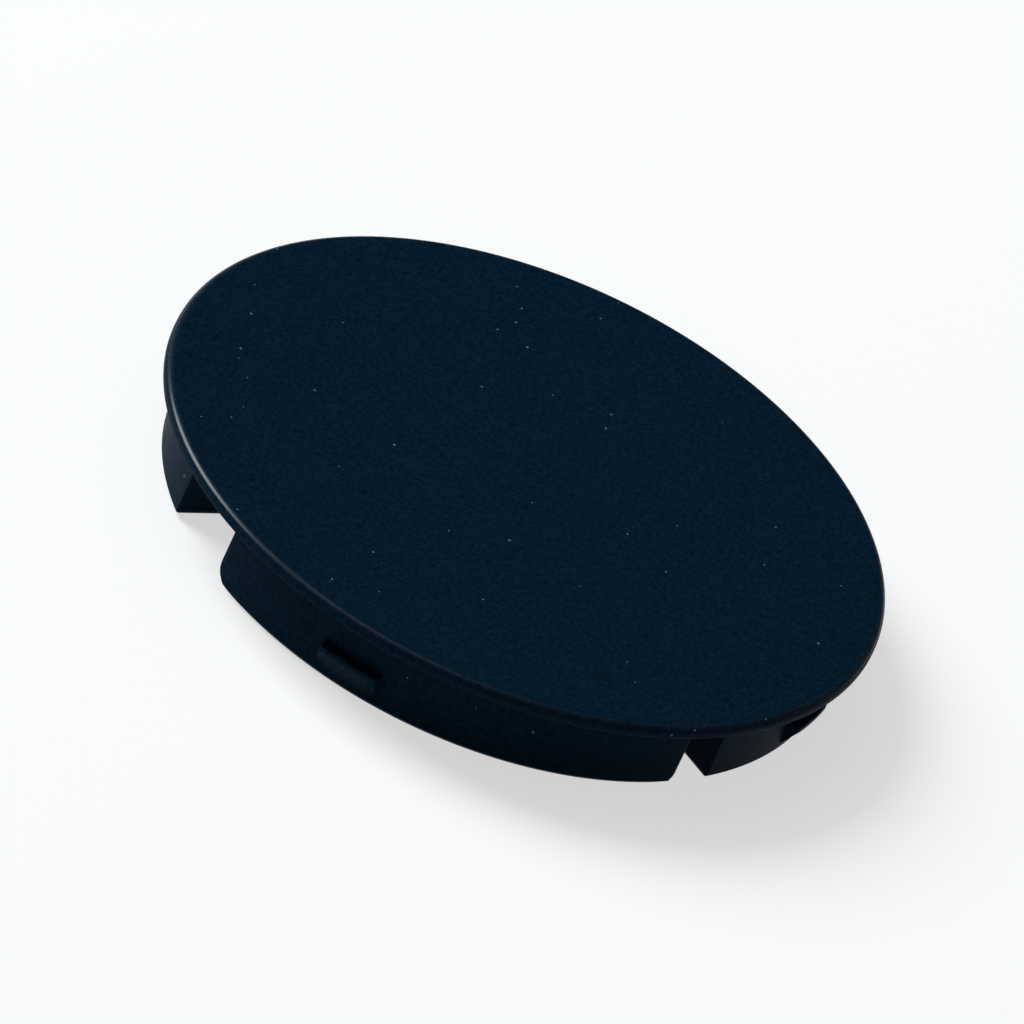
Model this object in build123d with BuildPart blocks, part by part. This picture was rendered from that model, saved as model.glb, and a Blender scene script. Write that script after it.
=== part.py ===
"""Snap-in hole plug for a 36 mm hole in a 2 mm panel, moulded in one piece.

A thin round flange covers the hole. Under it stands a skirt, split by four slots into two wide
spring tongues, at the front and back, and two stiffer blocks, at the sides. A small wedge barb
on each tongue and block snaps behind the panel.

Frame: z = 0 is the foot of the skirt, the flange is on top, and the four barbs lie on the X and
Y axes. The plug looks the same after half a turn about Z.
"""

import os
from math import cos, radians, sin, tan

from build123d import *

# ---- Driving dimensions, in millimetres and degrees ----------------------------------------

# Flange and the plate inside the skirt
overhang = 1.4  # of the flange beyond the skirt
flange_t = 0.6  # thickness outside the skirt
plate_t = 1.2  # thickness inside the skirt
edge_round = 0.35  # round-over of the top edge
edge_break = 0.08  # broken lower edge

# Skirt
skirt_r = 17.6  # outer radius
skirt_h = 4.2  # from the foot up to the flange
wall_t = 1.3  # thickness at the plate
wall_draft = 2.0  # degrees of draft on the inner face
lead_in = 0.28  # chamfer round the outside of the foot
root_round = 0.3  # fillet between the plate and the wall

# Slots. Angles run from +X, and each slot has a twin half a turn on.
wide_slot_w = 4.8
wide_slot_at = -127.1
narrow_slot_w = 2.2
narrow_slot_at = -27.6
wide_tongue_corner = 1.3  # lower corner of a tongue at a wide slot
narrow_tongue_corner = 0.8  # lower corner of a tongue at a narrow slot
block_corner = 0.4  # lower corners of the blocks

# Returns, the ribs that close the ends of each block
return_t = 1.0
return_depth = 3.4  # from the outside of the skirt, inwards

# Barbs
barb_count = 4
barb_w = 3.3  # along the skirt
barb_proud = 0.62  # beyond the skirt
barb_grip = 2.15  # from the flange down to the ledge: the panel lies between
barb_land = 0.3  # upright face under the ledge
barb_toe = 0.65  # height at which the ramp runs out into the skirt
barb_slope = 0.06  # fall of the ledge from the skirt to its tip
barb_round = 0.22  # rounding of the barb's upright edges
barb_root = 0.3  # how deep the barb is rooted in the wall

# ---- Sizes that follow ------------------------------------------------------------------

flange_r = skirt_r + overhang
seat_z = skirt_h
top_z = seat_z + flange_t
plate_z = top_z - plate_t
inner_r = skirt_r - wall_t
foot_inner_r = inner_r + plate_z * tan(radians(wall_draft))
ledge_z = seat_z - barb_grip
barb_r = skirt_r + barb_proud


def radial_plane(angle):
    """The upright plane through the Z axis at an angle: local x is outwards and y is up."""
    a = radians(angle)
    return Plane(origin=(0, 0, 0), x_dir=(cos(a), sin(a), 0), z_dir=(sin(a), -cos(a), 0))


def facing_plane(angle):
    """The upright plane that faces outwards at an angle: local x is along the skirt, y is up."""
    a = radians(angle)
    return Plane(origin=(0, 0, 0), x_dir=(-sin(a), cos(a), 0), z_dir=(cos(a), sin(a), 0))


# ---- One barb, on the +X axis --------------------------------------------------------------

barb_arc = barb_w / radians(1) / skirt_r
ledge_fall = barb_slope / barb_proud
land_top = ledge_z - barb_slope
land_foot = land_top - barb_land
ramp_fall = (land_foot - barb_toe) / barb_proud

with BuildPart() as barb:
    with BuildSketch(radial_plane(-barb_arc / 2)):
        with BuildLine():
            Polyline(
                (skirt_r - barb_root, ledge_z + ledge_fall * barb_root),
                (barb_r, land_top),
                (barb_r, land_foot),
                (skirt_r - barb_root, barb_toe - ramp_fall * barb_root),
                close=True,
            )
        make_face()
    revolve(axis=Axis.Z, revolution_arc=barb_arc)
    side_faces = barb.faces().filter_by(GeomType.PLANE).filter_by(
        lambda face: abs(face.normal_at().Z) < 0.01
    )
    upright_edges = side_faces.edges().filter_by(
        lambda edge: edge.center().Z < land_top and edge.center().Z > barb_toe
    )
    outer_edges = upright_edges.filter_by(
        lambda edge: Vector(edge.center().X, edge.center().Y, 0).length > skirt_r
    )
    fillet(outer_edges, radius=barb_round)

# ---- The plug ------------------------------------------------------------------------------

# Each slot: angle, width, and the lower corners at its clockwise and anticlockwise sides
slots = [
    (wide_slot_at, wide_slot_w, block_corner, wide_tongue_corner),
    (narrow_slot_at, narrow_slot_w, narrow_tongue_corner, block_corner),
]
# Each return: the slot it closes, that slot's width, and the side the block is on
returns = [
    (wide_slot_at, wide_slot_w, -1),
    (narrow_slot_at, narrow_slot_w, 1),
]

with BuildPart() as hole_plug:
    # The skirt as a whole ring, up into the flange
    with BuildSketch(Plane.XZ) as skirt_section:
        with BuildLine():
            Polyline(
                (foot_inner_r, 0),
                (skirt_r - lead_in, 0),
                (skirt_r, lead_in),
                (skirt_r, top_z - edge_round),
                (inner_r - 2 * root_round, top_z - edge_round),
                (inner_r - 2 * root_round, plate_z),
                (inner_r, plate_z),
                close=True,
            )
        make_face()
        root = skirt_section.vertices().sort_by_distance((inner_r, 0, plate_z))[0]
        fillet(root, radius=root_round)
    revolve(axis=Axis.Z)

    # The returns that close the ends of the blocks
    for angle, width, side in returns:
        for half_turn in (0, 180):
            across = side * (width + return_t) / 2
            with BuildSketch(Plane.XY.rotated((0, 0, angle + half_turn))):
                with Locations((skirt_r - return_depth, across)):
                    Rectangle(return_depth - wall_t / 2, return_t, align=(Align.MIN, Align.CENTER))
            extrude(amount=seat_z)

    # The slots, cut through the wall up to the flange, with rounded lower corners
    for angle, width, clockwise_corner, anticlockwise_corner in slots:
        for half_turn in (0, 180):
            with BuildSketch(facing_plane(angle + half_turn)):
                with BuildLine():
                    left = Line((-width / 2, seat_z), (-width / 2, clockwise_corner))
                    left_corner = JernArc(left @ 1, left % 1, clockwise_corner, -90)
                    right = Line((width / 2, seat_z), (width / 2, anticlockwise_corner))
                    right_corner = JernArc(right @ 1, right % 1, anticlockwise_corner, 90)
                    Line(left @ 0, right @ 0)
                    Line(left_corner @ 1, right_corner @ 1)
                make_face()
            extrude(amount=flange_r, mode=Mode.SUBTRACT)

    # The flange, with the thicker plate inside the skirt
    with BuildSketch(Plane.XZ):
        with BuildLine():
            Polyline(
                (0, top_z),
                (flange_r, top_z),
                (flange_r, seat_z),
                (inner_r, seat_z),
                (inner_r, plate_z),
                (0, plate_z),
                close=True,
            )
        make_face()
    revolve(axis=Axis.Z)

    with PolarLocations(0, barb_count):
        add(barb.part)

    rim_edges = hole_plug.edges().filter_by(GeomType.CIRCLE).filter_by(
        lambda edge: abs(edge.radius - flange_r) < 0.001
    )
    fillet(rim_edges.sort_by(Axis.Z)[-1], radius=edge_round)
    fillet(rim_edges.sort_by(Axis.Z)[0], radius=edge_break)

hole_plug.part.label = "hole_plug"

os.makedirs("parts", exist_ok=True)
export_step(hole_plug.part, "parts/hole_plug.step")
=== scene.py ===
"""Looks of the snap-in hole plug: its moulded body with softened edges, its plastic, and the stage.

Everything is in metres in the part's own frame: z = 0 is the foot of the skirt, the flange is on
top, and the four barbs lie on the X and Y axes.
"""

from math import atan2, cos, hypot, pi, radians, sin, tan

import bpy
from mathutils import Matrix, Vector


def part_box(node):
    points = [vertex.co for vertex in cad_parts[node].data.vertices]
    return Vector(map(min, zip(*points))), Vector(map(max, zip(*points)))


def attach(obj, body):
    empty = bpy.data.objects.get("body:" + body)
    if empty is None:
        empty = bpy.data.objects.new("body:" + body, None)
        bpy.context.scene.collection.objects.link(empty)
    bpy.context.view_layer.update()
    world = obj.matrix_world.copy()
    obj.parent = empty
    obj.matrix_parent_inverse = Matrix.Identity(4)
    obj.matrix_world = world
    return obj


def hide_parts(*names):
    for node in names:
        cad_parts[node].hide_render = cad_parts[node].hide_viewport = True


bl_info = {
    "name": "Snap-in Hole Plug",
    "version": (1, 0, 0),
    "blender": (4, 5, 0),
    "location": "3D View > Sidebar > Hole Plug",
    "description": "Models a moulded hole plug with its plastic and a plain stage",
    "category": "Object",
}

MM = 0.001
NODE = "hole_plug"

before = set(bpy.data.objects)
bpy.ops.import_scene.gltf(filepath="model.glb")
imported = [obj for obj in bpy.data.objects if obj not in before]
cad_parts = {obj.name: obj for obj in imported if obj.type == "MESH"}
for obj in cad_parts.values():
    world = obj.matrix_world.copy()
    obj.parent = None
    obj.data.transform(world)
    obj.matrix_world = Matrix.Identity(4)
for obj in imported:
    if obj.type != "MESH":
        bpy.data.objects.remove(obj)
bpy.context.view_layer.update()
FLANGE_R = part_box(NODE)[1].x
TOP_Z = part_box(NODE)[1].z


# ---- What a user would change ---------------------------------------------------------------


def length(name, description, default):
    """A property that holds a length."""
    return bpy.props.FloatProperty(
        name=name, description=description, default=default, min=0.0, unit="LENGTH", precision=5
    )


def angle(name, description, default_deg):
    """A property that holds an angle."""
    return bpy.props.FloatProperty(
        name=name, description=description, default=radians(default_deg), subtype="ANGLE"
    )


def colour(name, description, default):
    """A property that holds a colour."""
    return bpy.props.FloatVectorProperty(
        name=name,
        description=description,
        default=default,
        size=3,
        min=0.0,
        max=1.0,
        subtype="COLOR",
    )


class PlugShape(bpy.types.PropertyGroup):
    """Sizes of the moulded plug."""

    flange_r: length("Flange radius", "Outer radius of the flange", FLANGE_R)
    top_z: length("Height", "From the foot of the skirt to the top of the flange", TOP_Z)
    flange_t: length("Flange thickness", "Thickness outside the skirt", 0.6 * MM)
    plate_t: length("Plate thickness", "Thickness inside the skirt", 1.2 * MM)
    edge_round: length("Edge round-over", "Radius of the flange's top edge", 0.35 * MM)
    edge_break: length("Edge break", "Break of the flange's lower edge", 0.08 * MM)
    overhang: length("Overhang", "Flange beyond the skirt", 1.4 * MM)
    wall_t: length("Wall thickness", "Thickness of the skirt at the plate", 1.3 * MM)
    wall_draft: angle("Draft", "Draft of the skirt's inner face", 2.0)
    lead_in: length("Lead-in", "Chamfer round the foot", 0.28 * MM)
    root_round: length("Root fillet", "Fillet between the plate and the wall", 0.3 * MM)
    wide_slot_w: length("Wide slot", "Width of the two wide slots", 4.8 * MM)
    wide_slot_at: angle("Wide slot at", "Angle of the first wide slot from +X", -127.1)
    narrow_slot_w: length("Narrow slot", "Width of the two narrow slots", 2.2 * MM)
    narrow_slot_at: angle("Narrow slot at", "Angle of the first narrow slot from +X", -27.6)
    wide_corner: length("Wide slot corner", "Length of a tongue's corner at it", 1.8 * MM)
    wide_corner_h: length("Wide slot corner height", "Height of that corner", 1.15 * MM)
    narrow_corner: length("Narrow slot corner", "Radius of a tongue's corner at it", 0.8 * MM)
    block_corner: length("Block corner", "Lower corners of the blocks", 0.4 * MM)
    return_t: length("Return thickness", "Ribs that close the ends of the blocks", 1.0 * MM)
    return_depth: length("Return depth", "From the outside of the skirt, inwards", 3.4 * MM)
    barb_w: length("Barb width", "Along the skirt", 3.3 * MM)
    barb_proud: length("Barb height", "Beyond the skirt", 0.62 * MM)
    barb_grip: length("Barb grip", "From the flange down to the ledge", 2.15 * MM)
    barb_land: length("Barb land", "Upright face under the ledge", 0.3 * MM)
    barb_toe: length("Barb toe", "Height at which the ramp meets the skirt", 0.65 * MM)
    barb_slope: length("Barb slope", "Fall of the ledge to its tip", 0.06 * MM)
    barb_round: length("Barb round", "Rounding of the barb's upright edges", 0.22 * MM)
    edge_soften: length("Softened edges", "Radius left on every other edge by the mould", 0.05 * MM)


class PlugFinish(bpy.types.PropertyGroup):
    """Colour and grain of the plastic."""

    base: colour("Plastic", "Colour of the plastic", (0.0013, 0.0095, 0.0204))
    # small bright specks, mixed into the plastic's colour in a few cells scattered at random
    speck: colour("Specks", "Colour of the small bright specks", (0.10, 0.13, 0.16))
    grain: length("Grain", "Size of the mould's fine texture", 0.25 * MM)
    grain_depth: length("Grain depth", "Height of the mould's fine texture", 0.022 * MM)


class StageLook(bpy.types.PropertyGroup):
    """Camera, lamps and floor."""

    azimuth: angle("Camera azimuth", "Where the camera stands, from +X", -76.9)
    elevation: angle("Camera elevation", "Height of the camera above the floor's level", 32.4)
    roll: angle("Camera roll", "Turn of the camera about its own axis", 25.15)
    distance: length("Camera distance", "From the plug to the camera", 1.0)
    frame_w: length("Frame width", "Width of the view at the plug", 50.43 * MM)
    floor: colour("Floor", "Colour of the floor", (0.97, 0.96, 0.95))


# ---- Mesh helpers ---------------------------------------------------------------------------


def deselect_all():
    """Leaves edit mode with nothing selected."""
    if bpy.context.object and bpy.context.object.mode != "OBJECT":
        bpy.ops.object.mode_set(mode="OBJECT")
    bpy.ops.object.select_all(action="DESELECT")


def activate(piece):
    """Makes piece the only selected and active object."""
    deselect_all()
    piece.select_set(True)
    bpy.context.view_layer.objects.active = piece


def select_by(piece, kind, test):
    """In edit mode, selects only the vertices, edges or faces that pass a test of their place.

    The test gets a vertex's place, an edge's two ends, or a face's centre and normal.
    """
    bpy.ops.mesh.select_mode(type={"verts": "VERT", "edges": "EDGE", "faces": "FACE"}[kind])
    bpy.ops.mesh.select_all(action="DESELECT")
    bpy.ops.object.mode_set(mode="OBJECT")
    mesh = piece.data
    if kind == "verts":
        for vert in mesh.vertices:
            vert.select = bool(test(vert.co))
    elif kind == "edges":
        for edge in mesh.edges:
            a, b = (mesh.vertices[i].co for i in edge.vertices)
            edge.select = bool(test(a, b))
    else:
        for face in mesh.polygons:
            face.select = bool(test(face.center, face.normal))
    bpy.ops.object.mode_set(mode="EDIT")


def draw_outline(name, points, plane=Matrix.Identity(4)):
    """Draws a closed face: one vertex, extruded from point to point in a plane's x and y."""
    deselect_all()
    at = [plane @ Vector((x, y, 0)) for x, y in points]
    bpy.ops.mesh.primitive_plane_add(size=MM, location=at[0])
    piece = bpy.context.object
    piece.name = name
    bpy.ops.object.transform_apply(location=True, rotation=False, scale=False)
    bpy.ops.object.mode_set(mode="EDIT")
    bpy.ops.mesh.select_mode(type="VERT")
    bpy.ops.mesh.select_all(action="SELECT")
    bpy.ops.mesh.merge(type="CENTER")
    for here, there in zip(at, at[1:]):
        bpy.ops.mesh.extrude_vertices_move(TRANSFORM_OT_translate={"value": there - here})
    bpy.ops.mesh.select_all(action="SELECT")
    bpy.ops.mesh.edge_face_add()
    return piece


def boolean(piece, other, operation):
    """Adds other to piece or cuts it away, and deletes other."""
    activate(piece)
    modifier = piece.modifiers.new(operation.title(), "BOOLEAN")
    modifier.object = other
    modifier.operation = operation
    modifier.solver = "EXACT"
    bpy.ops.object.modifier_apply(modifier=modifier.name)
    bpy.data.objects.remove(other, do_unlink=True)


def turned_copy(piece, turn):
    """A copy of piece with its own mesh, turned about the Z axis."""
    copy = piece.copy()
    copy.data = piece.data.copy()
    bpy.context.collection.objects.link(copy)
    copy.data.transform(Matrix.Rotation(turn, 4, "Z"))
    return copy


def facing_plane(turn):
    """The upright plane through the Z axis that faces an angle: x is along the skirt, y is up."""
    quarter_turn = Matrix.Rotation(pi / 2, 4, "Z")
    return Matrix.Rotation(turn, 4, "Z") @ quarter_turn @ Matrix.Rotation(pi / 2, 4, "X")


def radial_plane(turn):
    """The upright plane through the Z axis at an angle: x is outwards and y is up."""
    return Matrix.Rotation(turn, 4, "Z") @ Matrix.Rotation(pi / 2, 4, "X")


# ---- The moulded body -----------------------------------------------------------------------

SEGMENTS = 200  # round the plug
GRID_START = radians(0.54)  # keeps the segments clear of the slots' sides
HALF_SEGMENT = pi / SEGMENTS
BURIED = 0.25 * MM  # how far a part of the body runs into its neighbour
RIB_LIFT = 0.03 * MM  # the returns stop this far above the foot
PLATE_LAP = 0.002 * MM  # how far the skirt's root runs into the plate
FLARE_DROP = 0.02 * MM  # a slot's flare ends this far below the foot
CUT_DROP = 0.5 * MM  # and the cut itself this far
NEAR = 0.01 * MM  # points closer than this are at the same place
SAME = 0.001 * MM  # points closer than this are one point
ROUND_STEPS = 6  # along a round-over or a rounded corner
BREAK_STEPS = 3
ROOT_STEPS = 4
BARB_STEPS = 6  # along a barb
BARB_ROUND_STEPS = 3
SOFTEN_STEPS = 2
SHARP = radians(38)  # edges sharper than this are softened
SMOOTH = radians(50)  # and edges flatter than this are shaded smooth


class HOLEPLUG_OT_model_cap(bpy.types.Operator):
    """Model the flange and the thicker plate inside the skirt."""

    bl_idname = "hole_plug.model_cap"
    bl_label = "Model Flange and Plate"

    def execute(self, context):
        shape = context.scene.plug_shape
        seat_z = shape.top_z - shape.flange_t
        inner_r = shape.flange_r - shape.overhang - shape.wall_t
        deselect_all()
        bpy.ops.mesh.primitive_cylinder_add(
            vertices=SEGMENTS,
            radius=shape.flange_r,
            depth=shape.flange_t,
            location=(0, 0, seat_z + shape.flange_t / 2),
            rotation=(0, 0, GRID_START + HALF_SEGMENT),
        )
        cap = context.object
        cap.name = "plug_cap"
        bpy.ops.object.transform_apply(location=True, rotation=True, scale=True)
        bpy.ops.object.mode_set(mode="EDIT")
        # the plate, drawn down from the underside
        select_by(cap, "faces", lambda at, normal: normal.z < -0.9)
        bpy.ops.mesh.inset(thickness=shape.flange_r - inner_r, depth=0)
        bpy.ops.mesh.extrude_region_move(
            TRANSFORM_OT_translate={"value": (0, 0, shape.flange_t - shape.plate_t)}
        )
        # the rim's round-over and its broken lower edge
        for height, size, steps in (
            (shape.top_z, shape.edge_round, ROUND_STEPS),
            (seat_z, shape.edge_break, BREAK_STEPS),
        ):
            select_by(
                cap,
                "edges",
                lambda a, b: abs(a.z - height) < SAME
                and abs(b.z - height) < SAME
                and hypot(a.x, a.y) > shape.flange_r - NEAR,
            )
            bpy.ops.mesh.bevel(offset=size, offset_type="OFFSET", segments=steps, profile=0.5)
        # a narrow ring that keeps the flat top flat up to the round-over
        select_by(cap, "faces", lambda at, normal: normal.z > 0.99 and hypot(at.x, at.y) < inner_r)
        bpy.ops.mesh.inset(thickness=shape.edge_round, depth=0)
        bpy.ops.object.mode_set(mode="OBJECT")
        return {"FINISHED"}


class HOLEPLUG_OT_model_skirt(bpy.types.Operator):
    """Model the skirt: a turned ring with returns, cut into tongues and blocks by the slots."""

    bl_idname = "hole_plug.model_skirt"
    bl_label = "Model Skirt"

    def execute(self, context):
        shape = context.scene.plug_shape
        skirt_r = shape.flange_r - shape.overhang
        inner_r = skirt_r - shape.wall_t
        seat_z = shape.top_z - shape.flange_t
        plate_z = shape.top_z - shape.plate_t
        buried_z = seat_z + BURIED
        foot_inner_r = inner_r + plate_z * tan(shape.wall_draft)
        root_r = inner_r - shape.root_round
        skirt = draw_outline(
            "plug_body",
            [
                (foot_inner_r, 0),
                (skirt_r - shape.lead_in, 0),
                (skirt_r, shape.lead_in),
                (skirt_r, buried_z),
                (root_r, buried_z),
                (root_r, plate_z + PLATE_LAP),
                (inner_r, plate_z + PLATE_LAP),
            ],
            radial_plane(GRID_START),
        )
        corner = radial_plane(GRID_START) @ Vector((inner_r, plate_z, 0))
        select_by(skirt, "verts", lambda at: (at - corner).length < NEAR)
        # a little less than its radius, because it may not use up the step beside it
        bpy.ops.mesh.bevel(offset=shape.root_round * 0.99, segments=ROOT_STEPS, affect="VERTICES")
        bpy.ops.mesh.select_all(action="SELECT")
        bpy.ops.mesh.delete(type="ONLY_FACE")
        bpy.ops.mesh.select_all(action="SELECT")
        bpy.ops.mesh.spin(steps=SEGMENTS, angle=2 * pi, center=(0, 0, 0), axis=(0, 0, 1))
        bpy.ops.mesh.select_all(action="SELECT")
        bpy.ops.mesh.remove_doubles(threshold=SAME)
        bpy.ops.mesh.normals_make_consistent(inside=False)
        deselect_all()

        self.add_returns(shape, skirt, skirt_r, buried_z)
        self.cut_slots(shape, skirt, skirt_r, buried_z)
        return {"FINISHED"}

    def add_returns(self, shape, skirt, skirt_r, buried_z):
        """Adds ribs at the ends of the blocks. They reach into the slots, which then trim them."""
        for at, width, side in (
            (shape.wide_slot_at, shape.wide_slot_w, -1),
            (shape.narrow_slot_at, shape.narrow_slot_w, 1),
        ):
            for half_turn in (0, pi):
                thickness = shape.return_t + BURIED
                depth = shape.return_depth - shape.wall_t / 2
                height = buried_z - BURIED / 2 - RIB_LIFT
                outwards = skirt_r - shape.return_depth + depth / 2
                across = side * (width / 2 - BURIED + thickness / 2)
                deselect_all()
                bpy.ops.mesh.primitive_cube_add(
                    size=1, location=(outwards, across, RIB_LIFT + height / 2)
                )
                rib = bpy.context.object
                rib.dimensions = (depth, thickness, height)
                bpy.ops.object.transform_apply(location=True, rotation=False, scale=True)
                rib.data.transform(Matrix.Rotation(at + half_turn, 4, "Z"))
                boolean(skirt, rib, "UNION")

    def cut_slots(self, shape, skirt, skirt_r, buried_z):
        """Cuts the slots, each flared at the foot round its neighbours' lower corners."""
        wide = (shape.wide_corner, shape.wide_corner_h)
        narrow = (shape.narrow_corner, shape.narrow_corner)
        block = (shape.block_corner, shape.block_corner)
        for at, width, clockwise, anticlockwise in (
            (shape.wide_slot_at, shape.wide_slot_w, block, wide),
            (shape.narrow_slot_at, shape.narrow_slot_w, narrow, block),
        ):
            for half_turn in (0, pi):
                plane = facing_plane(at + half_turn)
                above = buried_z + BURIED
                cutter = draw_outline(
                    "slot_cutter",
                    [
                        (-width / 2, above),
                        *flare(-1, width / 2, *clockwise),
                        (-width / 2 - clockwise[0], -CUT_DROP),
                        (width / 2 + anticlockwise[0], -CUT_DROP),
                        *reversed(flare(1, width / 2, *anticlockwise)),
                        (width / 2, above),
                    ],
                    plane,
                )
                outwards = plane.to_3x3() @ Vector((0, 0, 1))
                inner = (skirt_r - 2 * shape.return_depth) * outwards
                bpy.ops.mesh.select_all(action="SELECT")
                bpy.ops.transform.translate(value=inner)
                bpy.ops.mesh.extrude_region_move(
                    TRANSFORM_OT_translate={"value": outwards * 3 * shape.return_depth}
                )
                bpy.ops.mesh.select_all(action="SELECT")
                bpy.ops.mesh.normals_make_consistent(inside=False)
                deselect_all()
                boolean(skirt, cutter, "DIFFERENCE")


def flare(side, half_width, run, rise):
    """Points from a slot's side to the foot, round a corner that is run long and rise high."""
    points = []
    for step in range(ROUND_STEPS + 1):
        turn = step / ROUND_STEPS * pi / 2
        x = half_width + run * (1 - cos(turn))
        y = rise * (1 - sin(turn))
        points.append((side * x, y))
    points[-1] = (points[-1][0], -FLARE_DROP)
    return points


class HOLEPLUG_OT_model_barbs(bpy.types.Operator):
    """Model one barb on the +X axis, and turn copies of it on to the other three."""

    bl_idname = "hole_plug.model_barbs"
    bl_label = "Model Barbs"

    def execute(self, context):
        shape = context.scene.plug_shape
        skirt_r = shape.flange_r - shape.overhang
        ledge_z = shape.top_z - shape.flange_t - shape.barb_grip
        tip_r = skirt_r + shape.barb_proud
        land_top = ledge_z - shape.barb_slope
        land_foot = land_top - shape.barb_land
        ledge_fall = shape.barb_slope / shape.barb_proud
        ramp_fall = (land_foot - shape.barb_toe) / shape.barb_proud
        arc = shape.barb_w / skirt_r
        root_r = skirt_r - BURIED
        barb = draw_outline(
            "plug_barb_1",
            [
                (root_r, ledge_z + ledge_fall * BURIED),
                (tip_r, land_top),
                (tip_r, land_foot),
                (root_r, shape.barb_toe - ramp_fall * BURIED),
            ],
            radial_plane(arc / 2),
        )
        bpy.ops.mesh.spin(steps=BARB_STEPS, angle=arc, center=(0, 0, 0), axis=(0, 0, 1))
        bpy.ops.mesh.select_all(action="SELECT")
        bpy.ops.mesh.remove_doubles(threshold=SAME)
        bpy.ops.mesh.normals_make_consistent(inside=False)
        end_angle = arc / 2 - NEAR / skirt_r

        def outer_upright(a, b):
            """Whether an edge is at an end of the barb and clear of the wall."""
            at_end = min(abs(atan2(a.y, a.x)), abs(atan2(b.y, b.x))) > end_angle
            outside = min(hypot(a.x, a.y), hypot(b.x, b.y)) > root_r + NEAR
            return at_end and outside

        select_by(barb, "edges", outer_upright)
        bpy.ops.mesh.bevel(offset=shape.barb_round, segments=BARB_ROUND_STEPS, profile=0.5)
        deselect_all()
        for quarter in (1, 2, 3):
            turned_copy(barb, quarter * pi / 2).name = f"plug_barb_{quarter + 1}"
        return {"FINISHED"}


class HOLEPLUG_OT_finish_body(bpy.types.Operator):
    """Join cap, skirt and barbs into one moulded body and soften its edges."""

    bl_idname = "hole_plug.finish_body"
    bl_label = "Finish Body"

    def execute(self, context):
        shape = context.scene.plug_shape
        body = bpy.data.objects["plug_body"]
        boolean(body, bpy.data.objects["plug_cap"], "UNION")
        for quarter in (1, 2, 3, 4):
            boolean(body, bpy.data.objects[f"plug_barb_{quarter}"], "UNION")
        activate(body)
        bpy.ops.object.mode_set(mode="EDIT")
        bpy.ops.mesh.select_all(action="SELECT")
        bpy.ops.mesh.remove_doubles(threshold=SAME)
        bpy.ops.mesh.dissolve_degenerate(threshold=SAME)
        bpy.ops.object.mode_set(mode="OBJECT")
        soften = body.modifiers.new("Softened edges", "BEVEL")
        soften.width = shape.edge_soften
        soften.segments = SOFTEN_STEPS
        soften.limit_method = "ANGLE"
        soften.angle_limit = SHARP
        soften.use_clamp_overlap = False
        bpy.ops.object.modifier_apply(modifier=soften.name)
        # the foot stays flat on the floor
        bpy.ops.object.mode_set(mode="EDIT")
        select_by(body, "verts", lambda at: at.z < 0)
        bpy.ops.transform.resize(value=(1, 1, 0), center_override=(0, 0, 0))
        bpy.ops.object.mode_set(mode="OBJECT")
        bpy.ops.object.shade_smooth_by_angle(angle=SMOOTH)
        weighted = body.modifiers.new("Flat faces", "WEIGHTED_NORMAL")
        weighted.keep_sharp = True
        bpy.ops.object.modifier_apply(modifier=weighted.name)
        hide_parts(NODE)
        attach(body, "root")
        return {"FINISHED"}


# ---- Materials ------------------------------------------------------------------------------

GRAIN_TONE = 2.0  # how strongly the grain lightens and darkens the plastic
CLOUD_TONE = 0.24  # and its broad clouds
TONE_SHIFT = 0.11  # brings the two back to 1 on average
CLOUD_SIZE = 12  # grains across a cloud
ROUGHNESS = 0.46
ROUGHNESS_SPREAD = 0.12
SPECULAR = 0.02
SPECULAR_TINT = (0.5, 0.8, 1.0, 1.0)
RIM_SHARE = 0.4  # of the round-over's height, from the top, is smooth
RIM_GLOSS = 0.36
RIM_ROUGHNESS = 0.26
SPECK_CELL = 0.35 * MM
SPECKLESS = 0.984  # share of the cells without a speck
SPECK_LEAST = 0.08  # radius of the smallest speck, in cells
SPECK_SPREAD = 0.14  # and what the largest has more


class Signal:
    """A value in a shader. Python's operators on it add Math nodes."""

    def __init__(self, finish, socket):
        self.finish = finish
        self.socket = socket

    def math(self, operation, *values):
        """Adds a Math node on the given values."""
        node = self.finish.node("ShaderNodeMath", {"operation": operation}, dict(enumerate(values)))
        return Signal(self.finish, node.outputs[0])

    def __add__(self, other):
        return self.math("ADD", self, other)

    def __sub__(self, other):
        return self.math("SUBTRACT", self, other)

    def __rsub__(self, other):
        return self.math("SUBTRACT", other, self)

    def __mul__(self, other):
        return self.math("MULTIPLY", self, other)

    def __gt__(self, other):
        return self.math("GREATER_THAN", self, other)

    def __lt__(self, other):
        return self.math("LESS_THAN", self, other)

    __radd__ = __add__
    __rmul__ = __mul__


class Finish:
    """The nodes of a material or of the world. Every node comes from one method."""

    def __init__(self, owner):
        owner.use_nodes = True
        self.tree = owner.node_tree
        self.tree.nodes.clear()

    def node(self, kind, settings=None, inputs=None):
        """Adds a node: its settings or a ramp's stops first, then its sockets' values or links."""
        node = self.tree.nodes.new(kind)
        for key, value in (settings or {}).items():
            if key == "stops":
                for stop, (position, shade) in zip(node.color_ramp.elements, value):
                    stop.position = position
                    stop.color = shade
            else:
                setattr(node, key, value)
        for key, value in (inputs or {}).items():
            source = value.socket if isinstance(value, Signal) else value
            if isinstance(source, bpy.types.NodeSocket):
                self.tree.links.new(source, node.inputs[key])
            else:
                node.inputs[key].default_value = source
        return node

    def signal(self, node, output=0):
        """One output of a node as a value for expressions."""
        return Signal(self, node.outputs[output])


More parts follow.
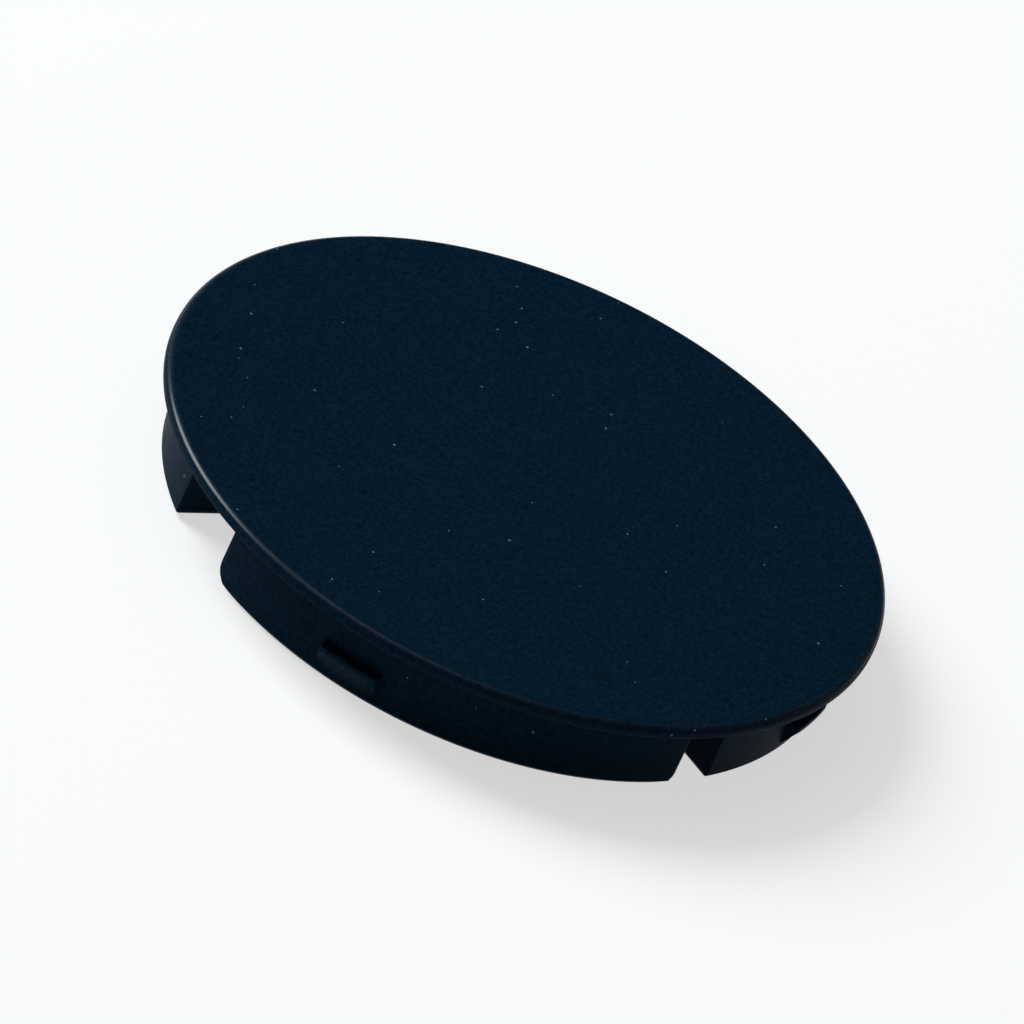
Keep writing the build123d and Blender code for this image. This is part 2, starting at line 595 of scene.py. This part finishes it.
class HOLEPLUG_OT_paint_plastic(bpy.types.Operator):
    """Give the body its dark moulded plastic."""

    bl_idname = "hole_plug.paint_plastic"
    bl_label = "Paint Plastic"

    def execute(self, context):
        shape = context.scene.plug_shape
        look = context.scene.plug_finish
        body = bpy.data.objects["plug_body"]
        plastic = bpy.data.materials.new("moulded_plastic")
        finish = Finish(plastic)
        place = finish.node("ShaderNodeTexCoord").outputs["Object"]

        # the mould's fine eroded texture, and broad faint clouds
        grain, cloud = (
            finish.signal(
                finish.node(
                    "ShaderNodeTexNoise",
                    {"noise_dimensions": "3D"},
                    {"Vector": place, "Scale": 1 / size, "Detail": detail, "Roughness": rough},
                )
            )
            for size, detail, rough in (
                (look.grain, 2.0, 0.6),
                (CLOUD_SIZE * look.grain, 3.0, 0.55),
            )
        )
        tone = CLOUD_TONE * cloud + GRAIN_TONE * grain - TONE_SHIFT
        tones = finish.node(
            "ShaderNodeCombineColor", {}, {"Red": tone, "Green": tone, "Blue": tone}
        )
        shade = finish.node(
            "ShaderNodeMix",
            {"data_type": "RGBA", "blend_type": "MULTIPLY"},
            {0: 1.0, 6: (*look.base, 1.0), 7: tones.outputs[0]},
        )

        # sparse specks: a few cells of a fine cell pattern, each a dot at the cell's centre
        cells = finish.node(
            "ShaderNodeTexVoronoi",
            {"voronoi_dimensions": "3D", "feature": "F1"},
            {"Vector": place, "Scale": 1 / SPECK_CELL},
        )
        lot = finish.node("ShaderNodeSeparateColor", {}, {"Color": cells.outputs["Color"]})
        chosen = finish.signal(lot, "Red") > SPECKLESS
        reach = SPECK_LEAST + SPECK_SPREAD * finish.signal(lot, "Green")
        speck = chosen * (finish.signal(cells, "Distance") < reach)
        painted = finish.node(
            "ShaderNodeMix",
            {"data_type": "RGBA"},
            {0: speck, 6: shade.outputs[2], 7: (*look.speck, 1.0)},
        )

        # the upper part of the rim's round-over, which is smoother than the grained faces
        split = finish.node("ShaderNodeSeparateXYZ", {}, {"Vector": place})
        x, y, z = (finish.signal(split, axis) for axis in ("X", "Y", "Z"))
        radius = x.math("SQRT", x * x + y * y)
        outside = radius > shape.flange_r - shape.edge_round
        rim = outside * (z > shape.top_z - RIM_SHARE * shape.edge_round)

        bump = finish.node(
            "ShaderNodeBump", {}, {"Strength": 1.0, "Distance": look.grain_depth, "Height": grain}
        )
        shader = finish.node(
            "ShaderNodeBsdfPrincipled",
            {},
            {
                "Base Color": painted.outputs[2],
                "Roughness": ROUGHNESS + ROUGHNESS_SPREAD * (grain - 0.5),
                "Specular IOR Level": SPECULAR,
                "Specular Tint": SPECULAR_TINT,
                "Coat Weight": RIM_GLOSS * rim,
                "Coat Roughness": RIM_ROUGHNESS,
                "Normal": bump.outputs[0],
            },
        )
        finish.node("ShaderNodeOutputMaterial", {}, {"Surface": shader.outputs[0]})
        body.data.materials.clear()
        body.data.materials.append(plastic)
        return {"FINISHED"}


# ---- The stage ------------------------------------------------------------------------------

FLOOR_RADIUS = 3.0
PAPER_SHARE = 0.62  # of the floor is plain white to the camera, and the rest shows the shadow
ROOM_STOPS = ((0.03, (0.9, 0.9, 0.9, 1)), (0.12, (0.09, 0.09, 0.09, 1)))
LAMP_DISTANCE = 1.5
LAMPS = (  # name, azimuth, elevation, level, size and colour
    ("key", 171, 37, 1.4, 0.9, (0.9, 0.97, 1.0)),
    ("top", 160, 66, 0.15, 1.3, (1.0, 1.0, 1.0)),
)
AIM_LEFT = 0.01361  # the camera's aim beside the flange's middle, in frame widths
AIM_DOWN = 0.02725
SENSOR_WIDTH = 36.0  # in millimetres, as Blender's cameras have it


def direction(azimuth, elevation):
    """The unit vector towards an azimuth from +X and an elevation."""
    return Vector((cos(elevation) * cos(azimuth), cos(elevation) * sin(azimuth), sin(elevation)))


class HOLEPLUG_OT_set_stage(bpy.types.Operator):
    """Set the floor, the lamps, the world and the camera."""

    bl_idname = "hole_plug.set_stage"
    bl_label = "Set Stage"

    def execute(self, context):
        look = context.scene.plug_stage
        self.set_floor(look)
        self.set_world(context)
        self.set_camera(context, look)
        for lamp in LAMPS:
            self.add_lamp(*lamp)
        return {"FINISHED"}

    def set_floor(self, look):
        """A wide plain floor under the plug, paper-white to the camera with the plug's shadow."""
        deselect_all()
        bpy.ops.mesh.primitive_circle_add(
            vertices=64, radius=FLOOR_RADIUS, fill_type="NGON", location=(0, 0, 0)
        )
        floor = bpy.context.object
        floor.name = "floor"
        paper = bpy.data.materials.new("floor")
        finish = Finish(paper)
        lit = finish.node("ShaderNodeBsdfDiffuse", {}, {"Color": (*look.floor, 1.0)})
        white = finish.node(
            "ShaderNodeEmission", {}, {"Color": (1.0, 1.0, 1.0, 1.0), "Strength": 1.0}
        )
        light_path = finish.node("ShaderNodeLightPath")
        seen = (
            finish.signal(light_path, "Is Camera Ray")
            + finish.signal(light_path, "Is Glossy Ray")
            + finish.signal(light_path, "Is Transmission Ray")
        )
        mixed = finish.node(
            "ShaderNodeMixShader",
            {},
            {0: PAPER_SHARE * (seen > 0.5), 1: lit.outputs[0], 2: white.outputs[0]},
        )
        finish.node("ShaderNodeOutputMaterial", {}, {"Surface": mixed.outputs[0]})
        floor.data.materials.append(paper)

    def set_world(self, context):
        """A dim room, pale towards the horizon."""
        world = bpy.data.worlds.new("studio")
        context.scene.world = world
        finish = Finish(world)
        place = finish.node("ShaderNodeTexCoord").outputs["Generated"]
        height = finish.signal(finish.node("ShaderNodeSeparateXYZ", {}, {"Vector": place}), "Z")
        shade = finish.node("ShaderNodeValToRGB", {"stops": ROOM_STOPS}, {"Fac": height})
        background = finish.node("ShaderNodeBackground", {}, {"Color": shade.outputs["Color"]})
        finish.node("ShaderNodeOutputWorld", {}, {"Surface": background.outputs[0]})

    def add_lamp(self, name, azimuth_deg, elevation_deg, level, size, tint):
        """An area lamp turned to the plug. At level 1, white paper that faces it looks white."""
        lamp = bpy.data.lights.new(name, "AREA")
        lamp.shape = "DISK"
        lamp.size = size
        lamp.energy = level * pi * pi * LAMP_DISTANCE**2
        lamp.color = tint
        placed = bpy.data.objects.new(name, lamp)
        bpy.context.scene.collection.objects.link(placed)
        towards = direction(radians(azimuth_deg), radians(elevation_deg))
        placed.location = towards * LAMP_DISTANCE
        placed.rotation_euler = towards.to_track_quat("Z", "Y").to_euler()

    def set_camera(self, context, look):
        """A long lens, rolled, with the flange a little right of and above the middle."""
        centre = Vector((0, 0, TOP_Z - context.scene.plug_shape.edge_round))
        back = direction(look.azimuth, look.elevation)
        level_right = Vector((0, 0, 1)).cross(back).normalized()
        level_up = back.cross(level_right)
        right = cos(look.roll) * level_right + sin(look.roll) * level_up
        up = -sin(look.roll) * level_right + cos(look.roll) * level_up
        aim = centre - look.frame_w * (AIM_LEFT * right + AIM_DOWN * up)
        lens = bpy.data.cameras.new("camera")
        lens.sensor_width = SENSOR_WIDTH
        lens.lens = lens.sensor_width * look.distance / look.frame_w
        lens.clip_start = 0.01
        lens.clip_end = 20.0
        camera = bpy.data.objects.new("camera", lens)
        context.scene.collection.objects.link(camera)
        turn = Matrix((right, up, back)).transposed().to_4x4()
        camera.matrix_world = Matrix.Translation(aim + back * look.distance) @ turn
        context.scene.camera = camera


class HOLEPLUG_PT_panel(bpy.types.Panel):
    """Sizes, finish and steps of the hole plug."""

    bl_label = "Hole Plug"
    bl_space_type = "VIEW_3D"
    bl_region_type = "UI"
    bl_category = "Hole Plug"

    def draw(self, context):
        """Lists every size and colour, then the steps in order."""
        column = self.layout.column()
        for holder, _ in GROUPS:
            group = getattr(context.scene, holder)
            for name in group.bl_rna.properties.keys():
                if name not in ("name", "rna_type"):
                    column.prop(group, name)
        for operator in STEPS:
            column.operator(operator.bl_idname)


STEPS = (
    HOLEPLUG_OT_model_cap,
    HOLEPLUG_OT_model_skirt,
    HOLEPLUG_OT_model_barbs,
    HOLEPLUG_OT_finish_body,
    HOLEPLUG_OT_paint_plastic,
    HOLEPLUG_OT_set_stage,
)
GROUPS = (
    ("plug_shape", PlugShape),
    ("plug_finish", PlugFinish),
    ("plug_stage", StageLook),
)


def register():
    """Registers the properties, the operators and the panel."""
    for name, group in GROUPS:
        bpy.utils.register_class(group)
        setattr(bpy.types.Scene, name, bpy.props.PointerProperty(type=group))
    for operator in STEPS:
        bpy.utils.register_class(operator)
    bpy.utils.register_class(HOLEPLUG_PT_panel)


def unregister():
    """Takes back what register did."""
    bpy.utils.unregister_class(HOLEPLUG_PT_panel)
    for operator in reversed(STEPS):
        bpy.utils.unregister_class(operator)
    for name, group in reversed(GROUPS):
        delattr(bpy.types.Scene, name)
        bpy.utils.unregister_class(group)


def main():
    """Builds the plug and its stage."""
    register()
    bpy.context.scene.view_settings.view_transform = "Standard"
    bpy.ops.hole_plug.model_cap()
    bpy.ops.hole_plug.model_skirt()
    bpy.ops.hole_plug.model_barbs()
    bpy.ops.hole_plug.finish_body()
    bpy.ops.hole_plug.paint_plastic()
    bpy.ops.hole_plug.set_stage()


if __name__ == "__main__":
    main()
